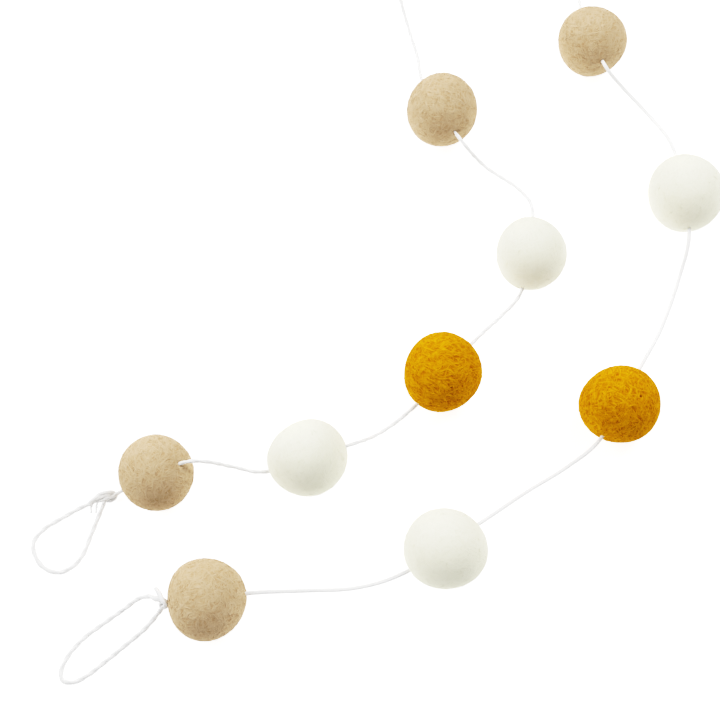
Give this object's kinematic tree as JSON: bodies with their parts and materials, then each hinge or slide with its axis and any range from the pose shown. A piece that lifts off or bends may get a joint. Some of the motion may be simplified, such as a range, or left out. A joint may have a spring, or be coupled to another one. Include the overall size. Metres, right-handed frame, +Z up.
{
  "type": "felt ball garland",
  "caption": "Garland of round wool felt balls in tan, white and mustard on a thin twisted white cotton string, with a knotted hanging loop at each end.",
  "frame": {"origin": "on the surface that the garland lies on, under the middle of the balls' bounding box", "axes": "+Z up; +Y from the two hanging loops towards the garland's middle ball; +X from the strand with loop A to the strand with loop B"},
  "size_m": [0.2324, 0.3355, 0.0258],
  "materials": {
    "tan_felt": "matt matted wool fibre",
    "white_felt": "matt matted wool fibre",
    "mustard_felt": "matt matted wool fibre",
    "cotton_string": "soft two-ply twist"
  },
  "bodies": {
    "root": {"ball_a1": "tan_felt", "ball_a2": "white_felt", "ball_a3": "mustard_felt", "ball_a4": "white_felt", "ball_a5": "tan_felt", "ball_a6": "white_felt", "ball_mid": "mustard_felt", "ball_b6": "white_felt", "ball_b5": "tan_felt", "ball_b4": "white_felt", "ball_b3": "mustard_felt", "ball_b2": "white_felt", "ball_b1": "tan_felt", "string": "cotton_string", "loop_a": "cotton_string", "loop_b": "cotton_string", "knot_a": "cotton_string", "knot_b": "cotton_string"}
  },
  "joints": []
}
